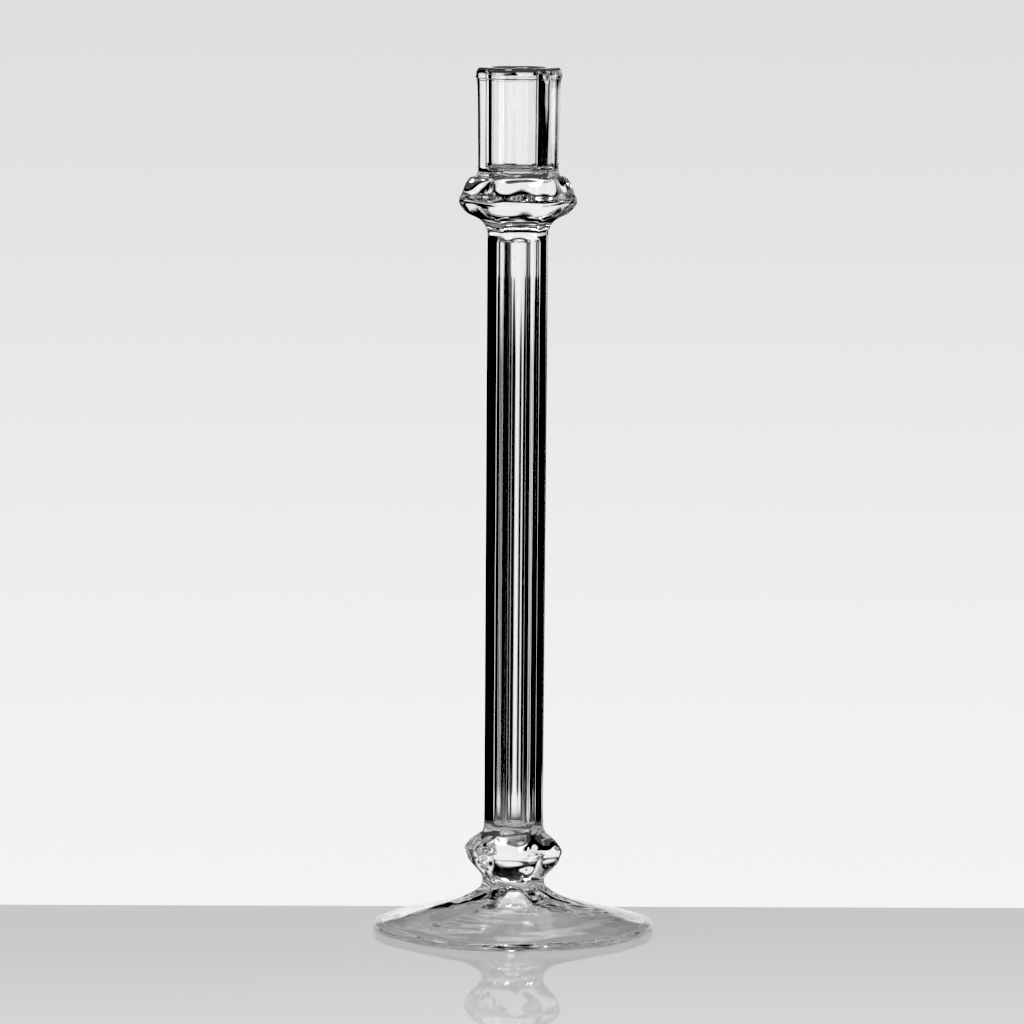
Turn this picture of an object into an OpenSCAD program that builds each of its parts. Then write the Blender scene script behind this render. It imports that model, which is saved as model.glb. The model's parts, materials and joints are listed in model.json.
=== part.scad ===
// Tall glass candlestick: a hexagonal stem between two knops, a candle socket and a trumpet foot.
// Each piece is a gather of hot glass that was fused face to face to the next one.
// Millimetres, +Z up, origin at the centre of the foot, on the table.
// A flat of the hexagon faces -Y, and a corner of it points along +X.

/* [Foot] */
// Diameter of the foot at its rim
foot_d = 126; // [110:1:140]
// Height of the foot, from the table to the merese above it
foot_h = 19.5; // [18:0.5:24]
// Thickness of the rounded edge of the foot
foot_edge = 3; // [2:0.1:4]
// Rise of the foot for each millimetre towards its middle
foot_slope = 0.275; // [0.2:0.005:0.28]
// Width of the ring that rests on the table
rest_w = 3.4; // [2:0.1:5]

/* [Lower knop] */
// Width of the waist between foot and knop, across its corners
waist_d = 27.8; // [24:0.2:28]
// Height of the merese that joins foot and knop
merese_h = 6.5; // [5:0.5:9]
// Width of the lower knop, across its corners
knop_d = 45.2; // [36:0.2:46]
// Height of the lower knop
knop_h = 20; // [17:0.5:24]
// How far the lower knop was twisted round when it was fused on
knop_turn = -22; // [-30:1:30]

/* [Stem] */
// Length of the stem between its two knops
stem_len = 266; // [150:1:320]
// Width of the stem at its lower end, across its corners
stem_low_d = 26.2; // [22:0.2:28]
// Width of the stem at its upper end, across its corners
stem_top_d = 27; // [22:0.2:28]
// Diameter of the long bubble inside the stem
bubble_d = 11.5; // [6:0.5:14]

/* [Drip collar] */
// Height of the flared merese that joins stem and collar
head_h = 7; // [5:0.5:9]
// Width of the drip collar, across its corners
collar_d = 52.8; // [44:0.2:56]
// Height of the drip collar
collar_h = 19.5; // [16:0.5:24]

/* [Candle socket] */
// Width of the socket at its base, across its corners
socket_base_d = 35.4; // [32:0.2:38]
// Width of the socket at its mouth, across its corners
socket_top_d = 38; // [34:0.2:40]
// Height of the socket
socket_h = 48; // [48:1:60]
// Diameter of the candle bore
bore_d = 22.6; // [20:0.2:25]
// Depth of the candle bore
bore_depth = 46; // [38:1:46]
// Radius of the fire-polished edge inside the mouth
mouth_round = 1.5; // [0.8:0.1:2]
// How far the socket was twisted round when it was fused on
socket_turn = 6; // [-15:1:15]

/* [Hidden] */

// heights of the joins, from the table up
merese_z = foot_h;
knop_z = merese_z + merese_h;
stem_z = knop_z + knop_h;
head_z = stem_z + stem_len;
collar_z = head_z + head_h;
socket_z = collar_z + collar_h;
top_z = socket_z + socket_h;

// across-corner radii at the joins, each shared by the two pieces that meet there
foot_top_r = waist_d / 2 + 0.8;
knop_low_r = waist_d / 2 + 2.2;
stem_low_r = stem_low_d / 2;
stem_top_r = stem_top_d / 2;
collar_low_r = stem_top_r + 3.5;
socket_low_r = socket_base_d / 2;
socket_top_r = socket_top_d / 2;

knop_belly = 0.45;   // height of a knop's widest ring, as a share of its height
collar_belly = 0.46;
belly_soft = 0.3;    // extra softness of the hexagon at a knop's widest ring
lip_h = 7;           // height of the rounded lip of the socket
lip_bulge = 0.5;
flare_w = 5.0;       // how far out the foot's flare dies away
dome_r = 14;         // radius of the dome in the middle of the foot's underside
round_r = 45;        // the foot is fully round from here outwards
edge_soft = 0.1;     // how far fire polishing has taken a corner back to the round
sides = 48;          // points around a ring, a multiple of six
slack = 0.01;
smooth = 96;

// Reach of a softened hexagon at angle a: soft 0 is a hexagon and soft 1 is its outer circle.
function hex_reach(a, soft) = soft + (1 - soft) * cos(30) / cos(a % 60 - 30);

// One ring of glass, from [across-corner radius, height, softness, turn].
function ring(p) =
    [for (i = [0 : sides - 1])
        let (a = i * 360 / sides, reach = p[0] * hex_reach(a, p[2]))
        [reach * cos(a + p[3]), reach * sin(a + p[3]), p[1]]];

// A closed skin over rings that start at the lowest or innermost one.
module gather(profile) {
    last = len(profile) - 1;
    walls = [for (k = [0 : last - 1], i = [0 : sides - 1])
        let (j = (i + 1) % sides, low = k * sides, high = low + sides)
        each [[low + i, high + i, high + j], [low + i, high + j, low + j]]];
    first_cap = [for (i = [0 : sides - 1]) i];
    last_cap = [for (i = [sides - 1 : -1 : 0]) last * sides + i];
    polyhedron([for (p = profile) each ring(p)], concat([first_cap, last_cap], walls));
}

// Rings of a piece that swells from radius low_r, or narrows, to belly_r and goes back to high_r.
// The three turns are those of its lowest, widest and highest ring.
function swell(z, h, low_r, high_r, belly_r, belly, turns, soft = 0, step = 15) =
    [for (a = [-90 : step : 90])
        let (u = sin(a),
             t = belly + u * (u < 0 ? belly : 1 - belly),
             side = low_r + (high_r - low_r) * t,
             full = pow(cos(a), 1.1),
             end_turn = u < 0 ? turns[0] : turns[2])
        [side + (belly_r - side) * full, z + h * t, edge_soft + soft * full,
         turns[1] + (end_turn - turns[1]) * abs(u)]];

// Height of the foot's upper and lower faces at radius r.
rim_r = (foot_d - foot_edge) / 2;
rest_r = rim_r - rest_w;
cone_z = foot_edge + (rim_r - foot_top_r) * foot_slope;
function foot_top(r) =
    foot_edge + (rim_r - r) * foot_slope + (foot_h - cone_z) * exp((foot_top_r - r) / flare_w);
function dome(r) = sqrt(r * r + dome_r * dome_r);
function foot_under(r) = foot_slope * (dome(rest_r) - dome(r));
function foot_soft(r) =
    edge_soft + (1 - edge_soft) * min(1, max(0, (r - foot_top_r) / (round_r - foot_top_r)));

// Thin trumpet foot with a hollow underside, a flat resting ring and a rounded rim.
module foot() {
    under = [for (r = [4, 10, 17, 25, 34, 43, 51]) [r, foot_under(r), 1, 0]];
    rim = [for (a = [-90 : 30 : 60])
        [rim_r + foot_edge / 2 * cos(a), foot_edge / 2 * (1 + sin(a)), 1, 0]];
    top = [for (r = [rim_r, 54, 47, 40, 34, 29, 25, 22, 20, 18.5, 17.2, 16.2, 15.4])
        [r, foot_top(r), foot_soft(r), 0]];
    color("azure", 0.5)
        gather(concat(under, [[rest_r, 0, 1, 0]], rim, top, [[foot_top_r, foot_h, edge_soft, 0]]));
}

// Waisted disc of glass between the foot and the lower knop.
module foot_merese() {
    color("azure", 0.5)
        gather(swell(merese_z, merese_h, foot_top_r, knop_low_r, waist_d / 2, 0.5,
                     [0, knop_turn / 2, knop_turn]));
}

// Soft six-sided knop at the bottom of the stem.
module lower_knop() {
    color("azure", 0.5)
        gather(swell(knop_z, knop_h, knop_low_r, stem_low_r, knop_d / 2, knop_belly,
                     [knop_turn, knop_turn, 0], belly_soft));
}

// Six-sided stem, drawn around one long bubble.
module stem() {
    color("azure", 0.5)
        difference() {
            gather([[stem_low_r, stem_z, edge_soft, 0], [stem_top_r, head_z, edge_soft, 0]]);
            translate([0, 0, stem_z - slack])
                cylinder(h = stem_len + 2 * slack, d = bubble_d, $fn = smooth);
        }
}

// Flared disc of glass between the stem and the drip collar.
module stem_head() {
    color("azure", 0.5)
        gather([for (t = [0 : 0.2 : 1])
            [stem_top_r + (collar_low_r - stem_top_r) * pow(t, 2), head_z + head_h * t, edge_soft, 0]]);
}

// Wide soft knop under the socket, which catches the wax.
module drip_collar() {
    color("azure", 0.5)
        gather(swell(collar_z, collar_h, collar_low_r, socket_low_r, collar_d / 2, collar_belly,
                     [0, 0, socket_turn], belly_soft));
}

// Rounds the inner edge of the mouth over, as a ring of glass taken away around the bore.
module mouth_cut() {
    cut_r = bore_d / 2 + mouth_round;
    arc = [for (a = [180 : -15 : 90]) mouth_round * [cos(a), sin(a)] + [cut_r, top_z - mouth_round]];
    rotate_extrude($fn = smooth)
        polygon(concat([[0, top_z - mouth_round], [0, top_z + 1], [cut_r, top_z + 1]],
                       [for (i = [len(arc) - 1 : -1 : 0]) arc[i]]));
}

// Six-sided flaring cup with the round bore that holds the candle.
module candle_socket() {
    lip_r = socket_top_r - (socket_top_r - socket_low_r) * lip_h / socket_h;
    outline = [
        [socket_low_r, socket_z],
        [lip_r, top_z - lip_h],
        [socket_top_r + lip_bulge * 0.7, top_z - lip_h * 0.75],
        [socket_top_r + lip_bulge, top_z - lip_h * 0.45],
        [socket_top_r + lip_bulge * 0.6, top_z - lip_h * 0.2],
        [socket_top_r - 0.4, top_z - lip_h * 0.05],
        [socket_top_r - 1.4, top_z]
    ];
    color("azure", 0.5)
        difference() {
            gather([for (p = outline) concat(p, [edge_soft, socket_turn])]);
            translate([0, 0, top_z - bore_depth])
                cylinder(h = bore_depth + 1, d = bore_d, $fn = smooth);
            mouth_cut();
        }
}

foot();
foot_merese();
lower_knop();
stem();
stem_head();
drip_collar();
candle_socket();
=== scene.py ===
"""Tall clear glass candlestick on a pale studio table: glass pieces, stage, lights and camera."""

import json
import math

import bpy
from mathutils import Matrix, Vector, noise


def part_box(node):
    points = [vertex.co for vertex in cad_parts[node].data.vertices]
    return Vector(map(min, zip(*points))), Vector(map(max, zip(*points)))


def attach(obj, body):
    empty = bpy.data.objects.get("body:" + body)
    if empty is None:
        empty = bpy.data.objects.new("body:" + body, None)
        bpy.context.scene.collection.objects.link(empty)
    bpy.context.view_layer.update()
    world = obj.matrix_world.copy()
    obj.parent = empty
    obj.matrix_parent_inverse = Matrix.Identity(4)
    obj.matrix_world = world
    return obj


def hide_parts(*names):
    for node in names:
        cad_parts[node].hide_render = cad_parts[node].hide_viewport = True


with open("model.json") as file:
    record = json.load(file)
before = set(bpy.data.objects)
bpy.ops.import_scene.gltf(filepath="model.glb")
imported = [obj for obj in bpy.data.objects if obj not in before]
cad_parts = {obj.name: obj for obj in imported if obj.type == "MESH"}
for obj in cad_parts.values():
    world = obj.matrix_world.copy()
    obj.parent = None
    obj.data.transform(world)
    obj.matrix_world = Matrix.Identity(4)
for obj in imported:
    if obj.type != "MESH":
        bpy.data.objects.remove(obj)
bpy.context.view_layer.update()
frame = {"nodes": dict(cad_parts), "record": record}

MM = 0.001

# ---------------------------------------------------------------- the six-sided section

# Degrees from a corner of the hexagon at which a ring has points, close together round the corner.
FROM_CORNER = (0, 1.2, 2.5, 4, 5.8, 8, 10.8, 14, 17.5, 21.5, 25.7, 30)
AZIMUTHS = sorted({(60 * k + side * a) % 360 for k in range(6) for side in (1, -1) for a in FROM_CORNER})
THIRTY = math.radians(30)


def hex_reach(azimuth, soft):
    """Reach of a round-cornered hexagon, as a share of its reach at a corner. Soft 0 is sharp, 1 is round."""
    off = math.radians(abs((azimuth + 30) % 60 - 30))
    corner = 1 / (1 - (1 - math.cos(THIRTY)) * soft)
    apothem = corner * math.cos(THIRTY)
    r = soft * apothem
    d = corner - r / math.cos(THIRTY)
    turn = math.atan2(r * math.sin(THIRTY), d + r * math.cos(THIRTY))
    if off < turn:
        return d * math.cos(off) + math.sqrt(max(r * r - (d * math.sin(off)) ** 2, 0))
    return apothem / math.cos(THIRTY - off)


def flat_share(azimuth):
    """1 at the middle of a flat and 0 at a corner."""
    return 0.5 - 0.5 * math.cos(math.radians(6 * azimuth))


def smooth(x, low, high):
    """0 up to low and 1 from high on, with a smooth rise between them."""
    t = min(1, max(0, (x - low) / (high - low)))
    return t * t * (3 - 2 * t)


def between(a, b, c, d, t):
    """The Catmull-Rom curve through four numbers, at a share t of the way from the second to the third."""
    line = 2 * b + (c - a) * t
    return 0.5 * (line + (2 * a - 5 * b + 4 * c - d) * t * t + (3 * b - a - 3 * c + d) * t ** 3)


def through(points, steps):
    """Rows on a smooth curve through the given rows of numbers, ends included, steps rows to each gap."""
    rows = [[2 * a - b for a, b in zip(points[0], points[1])]] + [list(p) for p in points]
    rows.append([2 * a - b for a, b in zip(points[-1], points[-2])])
    out = []
    for k in range(1, len(rows) - 2):
        for s in range(steps):
            out.append([between(*four, s / steps) for four in zip(*rows[k - 1:k + 3])])
    return out + [list(points[-1])]


# ---------------------------------------------------------------- closed skins

class Skin:
    """Collects the rings and faces of one closed piece, in millimetres."""

    WALL, SEAM = 0, 1  # kinds of face, and their material slots

    def __init__(self):
        self.points, self.faces, self.kinds = [], [], []

    def ring(self, points):
        first = len(self.points)
        self.points += points
        return list(range(first, first + len(points)))

    def wall(self, low, high):
        """A band between two rings, facing outwards when high is above low."""
        for i in range(len(low)):
            j = (i + 1) % len(low)
            self.faces.append((low[i], low[j], high[j], high[i]))
            self.kinds.append(self.WALL)

    def walls(self, rings):
        for low, high in zip(rings, rings[1:]):
            self.wall(low, high)

    def cap(self, ring, up, seam=True):
        """Closes a ring with a fan round its middle. A seam is where the glass is fused to the next piece."""
        middle = sum((Vector(self.points[i]) for i in ring), Vector()) / len(ring)
        at = self.ring([middle])[0]
        for i, a in enumerate(ring):
            b = ring[(i + 1) % len(ring)]
            self.faces.append((a, b, at) if up else (b, a, at))
            self.kinds.append(self.SEAM if seam else self.WALL)

    def piece(self, node, glass):
        """Makes the object. The rims of its seams are marked sharp, so the seams don't shade the walls."""
        me = bpy.data.meshes.new(node)
        me.from_pydata([Vector(p) * MM for p in self.points], [], self.faces)
        me.materials.append(glass)
        me.materials.append(seam_material())
        for face, kind in zip(me.polygons, self.kinds):
            face.use_smooth = kind == self.WALL
            face.material_index = kind
        seams = [face for face, kind in zip(me.polygons, self.kinds) if kind == self.SEAM]
        rims = {key for face in seams for key in face.edge_keys}
        for edge in me.edges:
            edge.use_edge_sharp = edge.key in rims
        me.update()
        ob = bpy.data.objects.new(node + "_glass", me)
        bpy.context.scene.collection.objects.link(ob)
        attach(ob, "root")
        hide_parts(node)
        return ob


def ripple(x, y, z, size, depth, seed):
    """A small smooth unevenness of hand-worked glass, in millimetres."""
    return depth * noise.noise(Vector((x, y, z)) / size + Vector((seed * 7.3, seed * 3.1, seed * 1.7)))


def tooling(x, y, r, pitch, depth, seed):
    """The wavering rings a tool leaves in a foot that is turned as it's shaped, in millimetres."""
    return depth * math.cos(2 * math.pi * (r + ripple(x, y, 0, 26, 12.0, seed)) / pitch)


def glass_ring(skin, z, reach, soft, dish=0, uneven=(0, 1), seed=0, turn=0):
    """One ring of a gather.

    reach is from the axis to a corner, soft is how round the corners are, dish is the share by which the
    flats are drawn in, uneven is the depth and size of the unevenness, and turn is the twist in degrees.
    """
    depth, size = uneven
    out = []
    for a in AZIMUTHS:
        r = reach * hex_reach(a, soft) * (1 - dish * flat_share(a))
        c, s = math.cos(math.radians(a + turn)), math.sin(math.radians(a + turn))
        r += ripple(r * c, r * s, z, size, depth, seed)
        out.append((r * c, r * s, z))
    return skin.ring(out)


def span(node):
    """Lowest and highest height of a CAD node, in millimetres."""
    low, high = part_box(node)
    return low[2] / MM, high[2] / MM


def reach_of(node):
    """Across-corner reach of a CAD node, in millimetres."""
    return max(math.hypot(v.co.x, v.co.y) for v in frame["nodes"][node].data.vertices) / MM


# ---------------------------------------------------------------- materials

def new_material(name):
    """An empty material with one Principled shader: the material, its node tree and the shader."""
    mat = bpy.data.materials.new(name)
    mat.use_nodes = True
    nt = mat.node_tree
    nt.nodes.clear()
    out = nt.nodes.new("ShaderNodeOutputMaterial")
    shader = nt.nodes.new("ShaderNodeBsdfPrincipled")
    nt.links.new(shader.outputs[0], out.inputs["Surface"])
    return mat, nt, shader


def seam_material():
    """The face inside the glass where two gathers are fused: nothing shows there."""
    mat = bpy.data.materials.get("fused_seam")
    if mat is None:
        mat, _, shader = new_material("fused_seam")
        shader.inputs["Alpha"].default_value = 0
        shader.inputs["Specular IOR Level"].default_value = 0
    return mat


GLASS_IOR = 1.5
HAZE = 0.012                      # roughness of the glass where it's haziest
STEM_TINT = (0.975, 0.985, 0.98)  # the palest tint of the foot, stem and socket
KNOP_TINT = (0.97, 0.985, 0.975)  # and of the knops, which are thicker


def glass_material(name, pale, deep, cord, cord_size, seed):
    """Clear glass: a faint tint that drifts through it, cords that bend the light and a trace of haze.

    cord is the depth of the cords in millimetres, and cord_size how many there are to a metre each way.
    """
    mat, nt, shader = new_material(name)
    node, link = nt.nodes.new, nt.links.new
    place = node("ShaderNodeTexCoord")
    stretch = node("ShaderNodeMapping")
    stretch.inputs["Scale"].default_value = cord_size
    stretch.inputs["Location"].default_value = (seed, seed, seed)
    link(place.outputs["Object"], stretch.inputs["Vector"])

    drift = node("ShaderNodeTexNoise")
    drift.inputs["Scale"].default_value = 0.35
    drift.inputs["Detail"].default_value = 2
    link(stretch.outputs[0], drift.inputs["Vector"])
    tint = node("ShaderNodeMix")
    tint.data_type = "RGBA"
    tint.inputs["A"].default_value = (*pale, 1)
    tint.inputs["B"].default_value = (*deep, 1)
    link(drift.outputs["Fac"], tint.inputs["Factor"])
    link(tint.outputs["Result"], shader.inputs["Base Color"])

    haze = node("ShaderNodeMapRange")
    haze.inputs["To Min"].default_value = 0
    haze.inputs["To Max"].default_value = HAZE
    link(drift.outputs["Fac"], haze.inputs["Value"])
    link(haze.outputs["Result"], shader.inputs["Roughness"])

    cords = node("ShaderNodeTexNoise")
    cords.inputs["Scale"].default_value = 1
    cords.inputs["Detail"].default_value = 3
    cords.inputs["Distortion"].default_value = 0.6
    link(stretch.outputs[0], cords.inputs["Vector"])
    bump = node("ShaderNodeBump")
    bump.inputs["Strength"].default_value = 1
    bump.inputs["Distance"].default_value = cord * MM
    link(cords.outputs["Fac"], bump.inputs["Height"])
    link(bump.outputs[0], shader.inputs["Normal"])

    shader.inputs["Transmission Weight"].default_value = 1
    shader.inputs["IOR"].default_value = GLASS_IOR
    return mat


def knop_glass(name, seed):
    return glass_material(name + "_glass", KNOP_TINT, (0.94, 0.965, 0.95), 0.03, (150, 150, 150), seed)


# ---------------------------------------------------------------- the pieces

# Reaches, from the axis to a corner, in millimetres.
KNOP_LOW = reach_of("foot_merese")
WAIST = KNOP_LOW - 2.2
FOOT_TOP = WAIST + 0.8
STEM_TOP = reach_of("stem")
STEM_LOW = STEM_TOP - 0.4
STEM_FLARE = 0.4            # how far the stem spreads where it sits on the lower knop
COLLAR_LOW = reach_of("stem_head")
SOCKET_LOW = STEM_TOP + 4.7
SOCKET_FLARE = 0.7          # how far the socket spreads where it sits on the collar

JOIN_SOFT = 0.24            # softness of the hexagon's corners at every join
FLAT_BULGE = -0.007         # the stem's flats are very slightly convex
PINCH = 0.07                # how far the collar's flats are drawn in above and below its widest ring
KNOP_TURN = -22             # how far the lower knop was twisted round when it was fused on, in degrees
SOCKET_TURN = 6             # and the socket

# Depth and size of the unevenness of the glass, in millimetres.
STEM_UNEVEN = (0.02, 40)
KNOP_UNEVEN = (0.06, 11)
FOOT_UNEVEN = (0.5, 28)
SOCKET_UNEVEN = (0.12, 14)
BORE_UNEVEN = (0.1, 16)


def toned(uneven, share):
    """The same unevenness at a share of its depth. It fades to none at a seam, where neighbours meet."""
    return uneven[0] * share, uneven[1]


def lofted(node, rows, glass, seed):
    """A solid gather from rows of height, reach, corner softness, dish and turn, with a seam at each end."""
    skin = Skin()
    last = len(rows) - 1
    rings = []
    for k, (z, reach, soft, dish, turn) in enumerate(rows):
        calm = min(1, min(k, last - k) / 4)
        rings.append(glass_ring(skin, z, reach, soft, dish, toned(KNOP_UNEVEN, calm), seed, turn))
    skin.walls(rings)
    skin.cap(rings[0], up=False)
    skin.cap(rings[-1], up=True)
    return skin.piece(node, glass)


def foot():
    """The spread foot: it stands on a ring just inside its rounded rim and is hollowed out underneath."""
    low, high = span("foot")
    full = reach_of("foot")
    edge = 1.9                                  # radius of the rim's rounding
    rim_soft = 0.8                              # the hexagon is nearly round at the rim
    rim = full - edge
    rest = rim - 3.2                            # the ring it stands on
    slope = 0.268                               # rise of its top towards the waist
    cone = 2 * edge + (rim - FOOT_TOP) * slope  # how high that slope alone would reach
    flare = 5                                   # width of the curve that takes it up to the waist
    hollow = slope + 0.012                      # rise of its underside, so that the glass thins inwards
    dome = 11                                   # width of the rounded middle of the hollow
    pit, pit_width = 5, 9                       # where the pontil was broken off
    clear = 0.3                                 # the hollow is at least this far above the table

    def top(r):
        return 2 * edge + (rim - r) * slope + (high - cone) * math.exp((FOOT_TOP - r) / flare)

    def under(r):
        dished = hollow * (math.hypot(rest, dome) - math.hypot(r, dome))
        return dished + pit * math.exp(-((r / pit_width) ** 2))

    def softness(r):
        return JOIN_SOFT + (rim_soft - JOIN_SOFT) * smooth(r, FOOT_TOP, 0.75 * full)

    skin = Skin()
    rings = []
    for r in [1.5] + [3 + 1.5 * k for k in range(35)] + [57]:
        ring = glass_ring(skin, 0, r, softness(max(r, 30)))
        for i in ring:
            x, y, _ = skin.points[i]
            lift = tooling(x, y, r, 7, 0.05, 5) + ripple(x, y, 0, 20, 0.5, 6)
            lift += ripple(x, y, 0, 8, 0.4, 7) * smooth(38 - r, 0, 22)
            skin.points[i] = (x, y, max(clear, under(r) + lift * smooth(rest - r, 0, 8)))
        rings.append(ring)
    rings.append(glass_ring(skin, low, rest, rim_soft))
    for a in range(-90, 61, 15):
        r = rim + edge * math.cos(math.radians(a))
        z = edge * (1 + math.sin(math.radians(a)))
        rings.append(glass_ring(skin, low + z, r, rim_soft, 0, toned(FOOT_UNEVEN, smooth(z, 0, 1)), 3))
    for r in [rim] + [60 - 1.5 * k for k in range(27)] + [20, 19.1, 18.3, 17.5, 16.8, 16.2, 15.6, 15.1]:
        ring = glass_ring(skin, 0, r, softness(r), 0, toned(FOOT_UNEVEN, smooth(r, 40, 60)), 3)
        for i in ring:
            x, y, _ = skin.points[i]
            lift = tooling(x, y, r, 9, 0.04, 8) + ripple(x, y, 0, 22, 0.4, 9)
            lift *= smooth(rim - r, 0, 8) * smooth(r, FOOT_TOP, 22)
            skin.points[i] = (x, y, top(r) + lift)
        rings.append(ring)
    rings.append(glass_ring(skin, high, FOOT_TOP, JOIN_SOFT))
    skin.walls(rings)
    skin.cap(rings[0], up=False, seam=False)
    skin.cap(rings[-1], up=True)
    glass = glass_material("foot_glass", STEM_TINT, (0.955, 0.975, 0.965), 0.03, (90, 90, 90), 1.3)
    return skin.piece("foot", glass)


def foot_merese():
    low, high = span("foot_merese")
    h = high - low
    rows = through([
        (low, FOOT_TOP, JOIN_SOFT, 0, 0),
        (low + 0.25 * h, WAIST + 0.1, 0.3, 0.01, KNOP_TURN * 0.2),
        (low + 0.52 * h, WAIST, 0.3, 0.02, KNOP_TURN * 0.5),
        (low + 0.8 * h, WAIST + 0.9, 0.3, 0.01, KNOP_TURN * 0.85),
        (high, KNOP_LOW, JOIN_SOFT, 0, KNOP_TURN),
    ], 4)
    return lofted("foot_merese", rows, knop_glass("foot_merese", 2.1), seed=11)


def lower_knop():
    low, high = span("lower_knop")
    belly = reach_of("lower_knop")
    h = high - low
    rows = through([
        (low, KNOP_LOW, JOIN_SOFT, 0, KNOP_TURN),
        (low + 0.12 * h, belly - 4.2, 0.3, 0.01, KNOP_TURN),
        (low + 0.25 * h, belly - 1.9, 0.3, 0.04, KNOP_TURN),
        (low + 0.38 * h, belly - 0.8, 0.3, 0.05, KNOP_TURN),
        (low + 0.52 * h, belly, 0.3, 0.04, KNOP_TURN),
        (low + 0.65 * h, belly - 1.7, 0.3, 0.05, KNOP_TURN),
        (low + 0.74 * h, belly - 3.4, 0.28, 0.04, KNOP_TURN * 0.9),
        (low + 0.82 * h, belly - 5.8, 0.26, 0.02, KNOP_TURN * 0.6),
        (low + 0.9 * h, STEM_LOW + STEM_FLARE + 1.0, 0.24, 0.0, KNOP_TURN * 0.3),
        (high, STEM_LOW + STEM_FLARE, JOIN_SOFT, FLAT_BULGE, 0),
    ], 3)
    return lofted("lower_knop", rows, knop_glass("lower_knop", 3.7), seed=12)


def stem():
    """The six-sided stem, drawn out long, with its bubble."""
    low, high = span("stem")
    skin = Skin()
    rings = []
    near_knop = [0, 0.6, 1.3, 2.1, 3, 4.2, 6, 9]
    for z in near_knop + list(range(18, 261, 12)) + [high - low]:
        reach = STEM_LOW + (STEM_TOP - STEM_LOW) * z / (high - low) + STEM_FLARE * math.exp(-z / 2.6)
        calm = smooth(z, 0, 12) * smooth(high - low - z, 0, 12)
        rings.append(glass_ring(skin, low + z, reach, JOIN_SOFT, FLAT_BULGE, toned(STEM_UNEVEN, calm), 20))
    skin.walls(rings)
    skin.cap(rings[0], up=False)
    skin.cap(rings[-1], up=True)
    bubble(skin, low + 0.6, high - 0.6, 5.7, 2.6)
    glass = glass_material("stem_glass", STEM_TINT, (0.96, 0.975, 0.97), 0.003, (140, 140, 6), 0.4)
    return skin.piece("stem", glass)


def bubble(skin, low, high, radius, taper):
    """The long drawn bubble: a closed hollow inside the stem, blunt at both ends, with walls that face in."""
    sides, lengths = 48, 16
    arc = [THIRTY / 5 * k for k in range(2, 16)]
    end = [(low + taper * (1 - math.cos(a)), radius * math.sin(a)) for a in arc]
    straight = [(low + taper + (high - low - 2 * taper) * k / lengths, radius) for k in range(1, lengths)]
    other_end = [(low + high - z, r) for z, r in reversed(end)]
    around = [-2 * math.pi * i / sides for i in range(sides)]
    rows = end + straight + other_end
    rings = [skin.ring([(r * math.cos(a), r * math.sin(a), z) for a in around]) for z, r in rows]
    skin.walls(rings)
    skin.cap(rings[0], up=False, seam=False)
    skin.cap(rings[-1], up=True, seam=False)


def stem_head():
    low, high = span("stem_head")
    h = high - low
    rows = through([
        (low, STEM_TOP, JOIN_SOFT, FLAT_BULGE, 0),
        (low + 0.3 * h, STEM_TOP + 0.3, 0.27, 0, 0),
        (low + 0.6 * h, STEM_TOP + 1.2, 0.27, 0, 0),
        (low + 0.82 * h, STEM_TOP + 2.2, 0.27, 0, 0),
        (high, COLLAR_LOW, JOIN_SOFT, 0, 0),
    ], 4)
    return lofted("stem_head", rows, knop_glass("stem_head", 5.2), seed=13)


def drip_collar():
    low, high = span("drip_collar")
    belly = reach_of("drip_collar")
    h = high - low
    rows = through([
        (low, COLLAR_LOW, JOIN_SOFT, 0, 0),
        (low + 0.06 * h, COLLAR_LOW + 2.2, 0.3, PINCH * 0.7, 0),
        (low + 0.13 * h, belly - 4.2, 0.33, PINCH, 0),
        (low + 0.23 * h, belly - 2.0, 0.36, PINCH * 0.6, 0),
        (low + 0.35 * h, belly - 0.3, 0.38, PINCH * 0.15, 0),
        (low + 0.47 * h, belly, 0.38, 0, SOCKET_TURN * 0.2),
        (low + 0.6 * h, belly - 1.1, 0.38, PINCH * 0.2, SOCKET_TURN * 0.4),
        (low + 0.76 * h, belly - 2.2, 0.36, PINCH * 0.6, SOCKET_TURN * 0.6),
        (low + 0.89 * h, belly - 3.6, 0.33, PINCH, SOCKET_TURN * 0.8),
        (low + 0.96 * h, SOCKET_LOW + 3.4, 0.3, PINCH * 0.7, SOCKET_TURN * 0.95),
        (high, SOCKET_LOW + SOCKET_FLARE, JOIN_SOFT, 0, SOCKET_TURN),
    ], 3)
    return lofted("drip_collar", rows, knop_glass("drip_collar", 6.6), seed=14)


def candle_bore():
    """Radius, depth and mouth height of the candle bore, in millimetres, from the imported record."""
    mount = next(m for m in frame["record"]["mounts"] if m["name"] == "candle_bore")
    return mount["dims"]["r_mm"], mount["dims"]["length_mm"], mount["pos_m"][2] / MM


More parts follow.
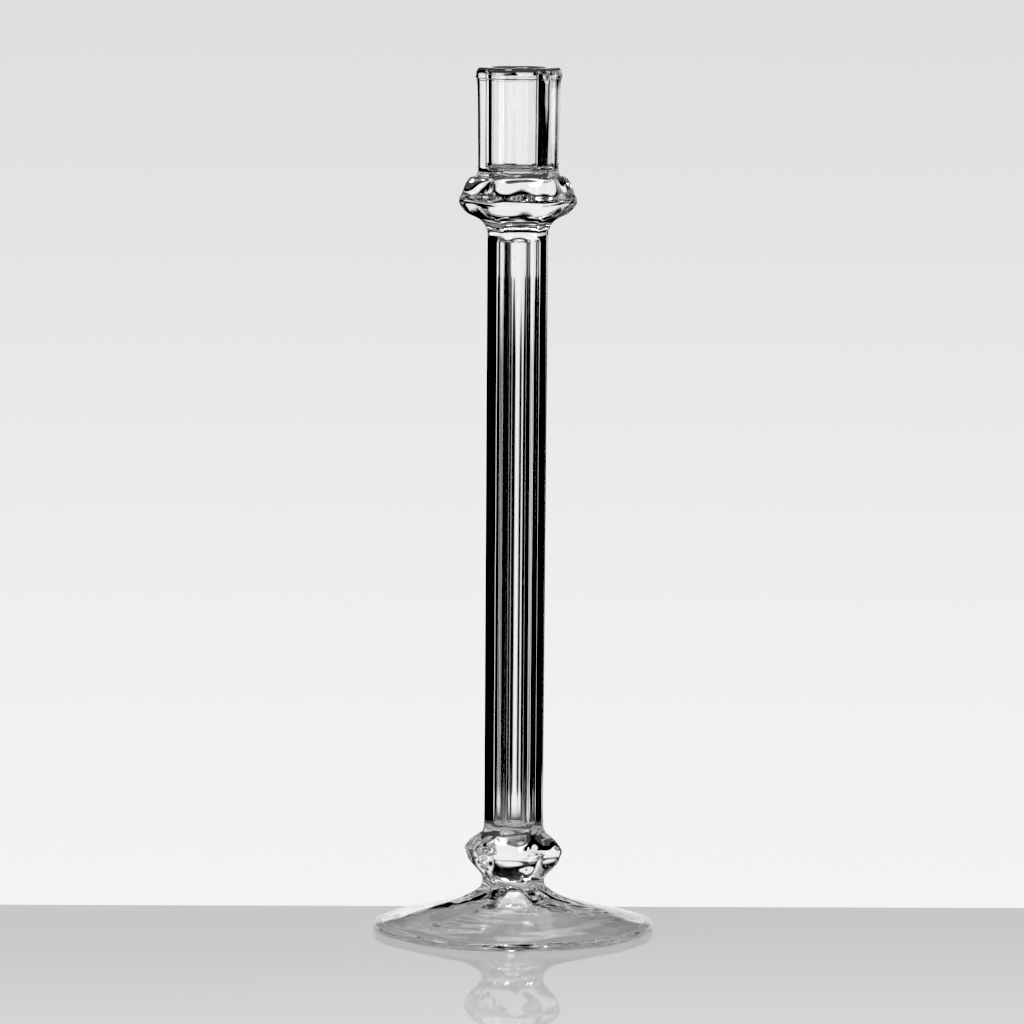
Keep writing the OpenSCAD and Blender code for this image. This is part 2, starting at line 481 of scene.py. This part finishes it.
def candle_socket():
    """The socket, which widens to a rolled lip, with a round bore for the candle."""
    low, high = span("candle_socket")
    mouth = reach_of("candle_socket") - 0.5
    bore, depth, shoulder = candle_bore()
    lip = 7         # height of the lip
    fillet = 3      # rounding of the bore's floor
    lip_low = mouth - (mouth - SOCKET_LOW) * lip / (high - low)
    rows = through([
        (low, SOCKET_LOW + SOCKET_FLARE, JOIN_SOFT, 0),
        (low + 1.6, SOCKET_LOW + 0.2, 0.3, 0),
        (low + 5, SOCKET_LOW + (lip_low - SOCKET_LOW) * 0.12, 0.33, 0),
        (low + 20, SOCKET_LOW + (lip_low - SOCKET_LOW) * 0.5, 0.38, 0),
        (high - lip, lip_low, 0.38, 0),
        (high - 0.7 * lip, mouth + 0.35, 0.38, 0),
        (high - 0.42 * lip, mouth + 0.5, 0.38, 0),
        (high - 0.16 * lip, mouth - 0.1, 0.4, 0),
        (high - 0.03 * lip, mouth - 1.0, 0.42, 0),
        (high, mouth - 2.2, 0.45, 0),
    ], 4)
    skin = Skin()
    rings = [
        glass_ring(skin, z, reach, soft, dish, toned(SOCKET_UNEVEN, min(1, k / 6)), 15, SOCKET_TURN)
        for k, (z, reach, soft, dish) in enumerate(rows)
    ]
    edge = high - shoulder
    for a in (75, 50, 25, 0):
        r = bore + edge * (1 - math.cos(math.radians(a)))
        rings.append(glass_ring(skin, shoulder + edge * math.sin(math.radians(a)), r, 1))
    floor = shoulder - depth
    for z in (shoulder - 6, shoulder - 14, shoulder - 24, floor + 10, floor + 4):
        rings.append(glass_ring(skin, z, bore, 1, 0, BORE_UNEVEN, 16))
    for a in (0, 25, 50, 75, 90):
        r = bore - fillet + fillet * math.cos(math.radians(a))
        rings.append(glass_ring(skin, floor + fillet - fillet * math.sin(math.radians(a)), r, 1))
    for r in (5.5, 2.5):
        rings.append(glass_ring(skin, floor, r, 1))
    skin.walls(rings)
    skin.cap(rings[0], up=False)
    skin.cap(rings[-1], up=True, seam=False)
    glass = glass_material("candle_socket_glass", STEM_TINT, (0.96, 0.975, 0.97), 0.012, (160, 160, 25), 8.8)
    return skin.piece("candle_socket", glass)


# ---------------------------------------------------------------- stage, light and camera

FACING = math.radians(5.2)       # the camera stands this far to the left of the front flat's middle
EYE_DROP = math.radians(9.7)     # how steeply the middle of the foot lies below the camera
EYE_PITCH = math.radians(5.92)   # how far the camera is tipped down
EYE_ROLL = math.radians(0.42)    # and how far it leans
EYE_DISTANCE = 2.8
EYE_SIDE = -0.0017               # the column stands just right of the middle of the picture
SENSOR = 36                      # millimetres
LENS = 221.7
STAGE = Matrix.Rotation(-FACING, 3, "Z")


def camera():
    data = bpy.data.cameras.new("camera")
    data.lens = LENS
    data.sensor_width = SENSOR
    data.clip_end = 100
    ob = bpy.data.objects.new("camera", data)
    bpy.context.scene.collection.objects.link(ob)
    ob.location = STAGE @ Vector((EYE_SIDE, -EYE_DISTANCE, EYE_DISTANCE * math.tan(EYE_DROP)))
    pitch = Matrix.Rotation(math.pi / 2 - EYE_PITCH, 3, "X")
    ob.rotation_euler = (STAGE @ pitch @ Matrix.Rotation(EYE_ROLL, 3, "Z")).to_euler()
    bpy.context.scene.camera = ob


class Nodes:
    """Short forms for the maths in a node tree. A value is a number or the output of another node."""

    def __init__(self, nt):
        self.nt = nt

    def feed(self, socket, value):
        if isinstance(value, (int, float)):
            socket.default_value = value
        else:
            self.nt.links.new(value, socket)

    def maths(self, operation, *values):
        n = self.nt.nodes.new("ShaderNodeMath")
        n.operation = operation
        for socket, value in zip(n.inputs, values):
            self.feed(socket, value)
        return n.outputs[0]

    def ramp(self, value, low, high, at_low, at_high):
        """A smooth change from at_low to at_high while the value goes from low to high."""
        n = self.nt.nodes.new("ShaderNodeMapRange")
        n.interpolation_type = "SMOOTHSTEP"
        for name, v in (("From Min", low), ("From Max", high), ("To Min", at_low), ("To Max", at_high)):
            n.inputs[name].default_value = v
        self.nt.links.new(value, n.inputs["Value"])
        return n.outputs["Result"]

    def blend(self, share, a, b):
        """a where share is 0 and b where it is 1."""
        n = self.nt.nodes.new("ShaderNodeMix")
        n.data_type = "FLOAT"
        for name, value in (("Factor", share), ("A", a), ("B", b)):
            self.feed(n.inputs[name], value)
        return n.outputs["Result"]


TABLE_WIDE = 0.33                # half the table's width, in metres
TABLE_NEAR = -0.43               # its near edge
TABLE_BACK = 0.0605              # and its back edge, just behind the foot
TABLE_SKEW = math.radians(-1.4)  # the back edge isn't quite square to the camera
TABLE_PAINTED_LIGHT = (-0.35, TABLE_BACK, 0.50, 0.36)  # painted light from the table top: two places from front to back, and how brightly it glows at each


def table():
    """A glossy table top that ends behind the foot, against the backdrop. It looks pale because it glows with
    painted light, brighter towards the front, in place of the light that would fill the shadow under the
    glass foot.
    """
    me = bpy.data.meshes.new("table")
    left, right = -TABLE_WIDE, TABLE_WIDE
    corners = [(left, TABLE_NEAR, 0), (right, TABLE_NEAR, 0), (right, TABLE_BACK, 0), (left, TABLE_BACK, 0)]
    lie = Matrix.Rotation(-FACING - TABLE_SKEW, 3, "Z")
    me.from_pydata([lie @ Vector(c) for c in corners], [], [(0, 1, 2, 3)])
    ob = bpy.data.objects.new("table", me)
    bpy.context.scene.collection.objects.link(ob)
    mat, nt, shader = new_material("table_top")
    node, link = nt.nodes.new, nt.links.new
    place = node("ShaderNodeTexCoord")
    cloud = node("ShaderNodeTexNoise")
    cloud.inputs["Scale"].default_value = 1.5
    link(place.outputs["Object"], cloud.inputs["Vector"])
    shade = node("ShaderNodeMix")
    shade.data_type = "RGBA"
    shade.inputs["A"].default_value = (0.11, 0.11, 0.11, 1)
    shade.inputs["B"].default_value = (0.15, 0.15, 0.15, 1)
    link(cloud.outputs["Fac"], shade.inputs["Factor"])
    link(shade.outputs["Result"], shader.inputs["Base Color"])
    axes = node("ShaderNodeSeparateXYZ")
    link(place.outputs["Object"], axes.inputs[0])
    # Painted light: the top glows, brighter towards the front than at the back, so that no shadow shows under
    # the glass foot.
    painted_light = Nodes(nt).ramp(axes.outputs["Y"], *TABLE_PAINTED_LIGHT)
    link(painted_light, shader.inputs["Emission Strength"])
    shader.inputs["Emission Color"].default_value = (1, 1, 1, 1)
    shader.inputs["Roughness"].default_value = 0.03
    shader.inputs["IOR"].default_value = 1.12
    shader.inputs["Specular IOR Level"].default_value = 0.3
    me.materials.append(mat)


# Heights and widths in the background are in degrees, seen from the candlestick.
SEEN = (-10, 0, 0.905, 0.745)    # the backdrop behind the object: two heights, and its brightness at each
BRIGHT = 0.93                    # the lit backdrop and windows that the glass shows
FLAG = 0                         # the dark flags beside the backdrop
FOOT_VIEW = 21                   # half width of the lit backdrop low down,
STEM_VIEW = 13                   # in its middle
SOCKET_VIEW = 43                 # and high up
FOOT_TO_STEM = (-10.5, -8.2)     # heights between which the first width passes into the second
STEM_TO_SOCKET = (-4.6, -2.6)    # and the second into the third
EDGE = 4                         # how soft the edges of the backdrop are
WINDOW = (82, 87)                # where the lit windows at the sides begin
SKY = (10, 16, 0.02)             # heights between which the backdrop ends, and how bright the room is above
GROUND = (-15, -10.5, 0.1)       # the same below


def studio():
    """A pale backdrop for the camera, and for the glass a lit backdrop, dark flags and windows at the sides.

    The room is the same in front of the glass as behind it: side is 0 straight ahead and behind, and 90 at
    the left and right.
    """
    world = bpy.data.worlds.new("studio")
    world.use_nodes = True
    bpy.context.scene.world = world
    nt = world.node_tree
    nt.nodes.clear()
    k = Nodes(nt)
    place = nt.nodes.new("ShaderNodeTexCoord")
    axes = nt.nodes.new("ShaderNodeSeparateXYZ")
    nt.links.new(place.outputs["Generated"], axes.inputs[0])
    x, y, z = axes.outputs
    height = k.maths("DEGREES", k.maths("ARCSINE", z))
    turn = k.maths("SUBTRACT", k.maths("DEGREES", k.maths("ARCTAN2", x, y)), math.degrees(FACING))
    folded = k.maths("FLOORED_MODULO", k.maths("ADD", turn, 90), 180)
    side = k.maths("ABSOLUTE", k.maths("SUBTRACT", folded, 90))

    seen = k.ramp(height, *SEEN)

    reach = k.blend(k.ramp(height, *STEM_TO_SOCKET, 0, 1), STEM_VIEW, SOCKET_VIEW)
    reach = k.blend(k.ramp(height, *FOOT_TO_STEM, 1, 0), reach, FOOT_VIEW)
    front = k.ramp(k.maths("SUBTRACT", side, reach), -EDGE, EDGE, BRIGHT, FLAG)
    window = k.ramp(side, *WINDOW, FLAG, BRIGHT)
    glass = k.maths("MAXIMUM", front, window)
    above = k.ramp(height, SKY[0], SKY[1], 0, 1)
    below = k.ramp(height, GROUND[0], GROUND[1], 1, 0)
    glass = k.blend(above, glass, SKY[2])
    glass = k.blend(below, glass, GROUND[2])

    path = nt.nodes.new("ShaderNodeLightPath")
    level = k.blend(path.outputs["Is Camera Ray"], glass, seen)
    back = nt.nodes.new("ShaderNodeBackground")
    nt.links.new(level, back.inputs["Color"])
    back.inputs["Strength"].default_value = 1
    out = nt.nodes.new("ShaderNodeOutputWorld")
    nt.links.new(back.outputs[0], out.inputs["Surface"])


def soft_box(name, place, aim, size, power):
    """A rectangular light that the camera doesn't see."""
    data = bpy.data.lights.new(name, "AREA")
    data.shape = "RECTANGLE"
    data.size, data.size_y = size
    data.energy = power
    ob = bpy.data.objects.new(name, data)
    bpy.context.scene.collection.objects.link(ob)
    ob.location = place
    ob.rotation_euler = (Vector(aim) - Vector(place)).to_track_quat("-Z", "Y").to_euler()
    ob.visible_camera = False


def light():
    studio()
    soft_box("overhead_softbox", (-0.3, -0.4, 1.9), (0, 0, 0.1), (0.9, 0.9), 20)
    soft_box("left_softbox", (-1.6, -1.0, 0.7), (0, 0, 0.2), (0.25, 1.0), 3)


BLACK = 0.055  # light this dim prints as black, as in a picture with strong contrast


def look():
    """The picture's contrast, and enough bounces for light to find its way through the glass."""
    scene = bpy.context.scene
    scene.view_settings.view_transform = "Standard"
    scene.view_settings.use_curve_mapping = True
    scene.view_settings.curve_mapping.black_level = (BLACK, BLACK, BLACK)
    scene.cycles.max_bounces = 40
    scene.cycles.transmission_bounces = 32
    scene.cycles.glossy_bounces = 24
    scene.cycles.transparent_max_bounces = 40
    scene.cycles.diffuse_bounces = 3
    scene.cycles.caustics_refractive = True
    scene.cycles.caustics_reflective = True


camera()
look()
light()
table()
foot()
foot_merese()
lower_knop()
stem()
stem_head()
drip_collar()
candle_socket()
